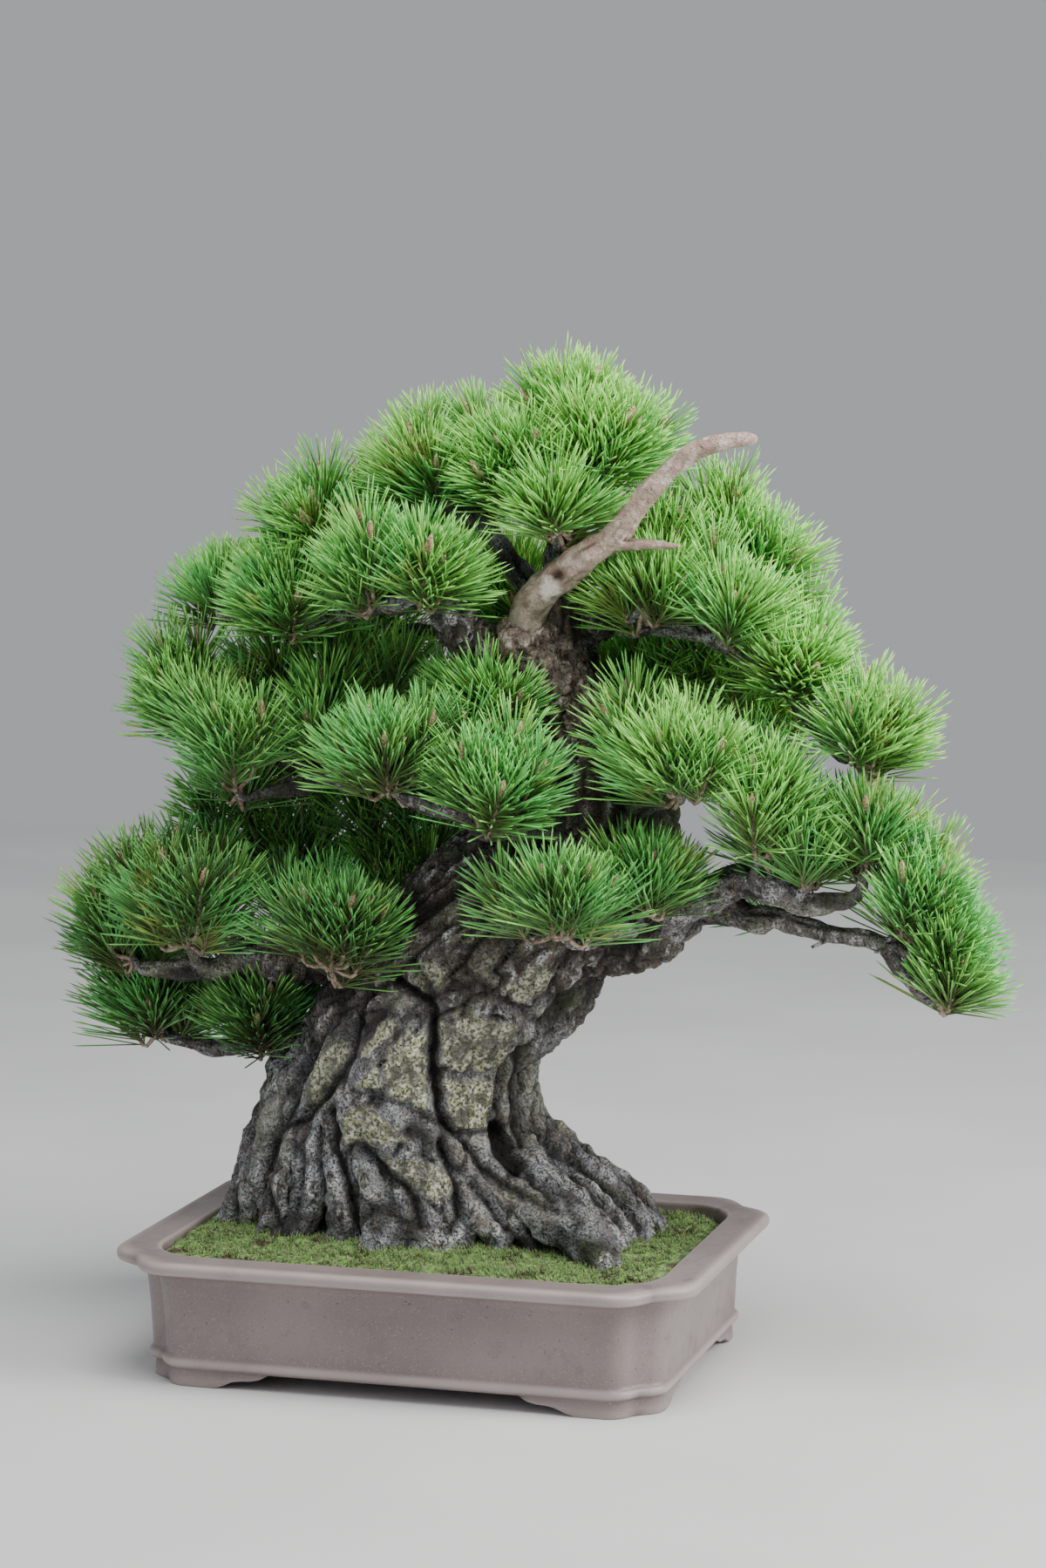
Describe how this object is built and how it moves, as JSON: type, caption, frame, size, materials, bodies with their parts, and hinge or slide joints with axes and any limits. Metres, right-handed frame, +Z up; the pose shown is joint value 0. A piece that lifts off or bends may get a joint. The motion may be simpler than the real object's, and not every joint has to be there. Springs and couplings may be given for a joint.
{
  "type": "pine bonsai",
  "caption": "Old pine bonsai with a leaning trunk, fluted root base, dead jin branch and layered needle pads, in a shallow rectangular stoneware pot with moss",
  "frame": {"origin": "middle of the overall outline seen from above, at the level of the pot's feet", "axes": "+X along the pot's long side to the right as seen from the front, +Y to the back, +Z up"},
  "size_m": [0.7752, 0.3828, 0.793],
  "materials": {
    "stoneware": "unglazed, matt, taupe brown, paler on worn edges",
    "screen_plastic": "black plastic mesh",
    "soil": "gritty dark brown bonsai soil",
    "moss": "soft green moss with brown bits",
    "bark": "rough plated grey-brown bark with pale lichen",
    "dead_wood": "bare weathered heartwood",
    "needles": "green needles, brighter at the top"
  },
  "bodies": {
    "root": {"pot": "stoneware", "drain_screen_left": "screen_plastic", "drain_screen_right": "screen_plastic", "soil": "soil", "moss": "moss", "trunk": "bark", "jin": "dead_wood", "spray_apex_crown": "needles", "spray_apex_front": "needles", "spray_apex_back": "needles", "spray_apex_left": "needles", "spray_crown_left": "needles", "spray_crown_centre": "needles", "spray_crown_back": "needles", "spray_left_shoulder": "needles", "spray_left_outer_top": "needles", "spray_left_upper_front": "needles", "spray_left_upper_centre": "needles", "spray_left_outer_back": "needles", "spray_left_outer": "needles", "spray_left_middle_front": "needles", "spray_left_middle_inner": "needles", "spray_centre_left_outer": "needles", "spray_centre_left_inner": "needles", "spray_centre_upper": "needles", "spray_left_low_front": "needles", "spray_left_low_inner": "needles", "spray_left_low_tip": "needles", "spray_left_low_under": "needles", "spray_left_low_back": "needles", "spray_left_back_centre": "needles", "spray_left_under_inner": "needles", "spray_front_low": "needles", "spray_front_low_right": "needles", "spray_centre_right_front": "needles", "spray_centre_right_outer": "needles", "spray_right_upper_inner": "needles", "spray_right_upper_middle": "needles", "spray_right_upper_top": "needles", "spray_right_shoulder": "needles", "spray_right_outer": "needles", "spray_right_low_middle": "needles", "spray_right_low_twig": "needles", "spray_right_end_top": "needles", "spray_right_end": "needles", "spray_right_tip": "needles", "spray_right_low_back": "needles", "spray_back_low": "needles", "spray_back_middle": "needles", "spray_back_right": "needles", "spray_back_left_middle": "needles", "spray_back_upper": "needles", "spray_back_left_upper": "needles", "spray_inner_right": "needles"}
  },
  "joints": []
}
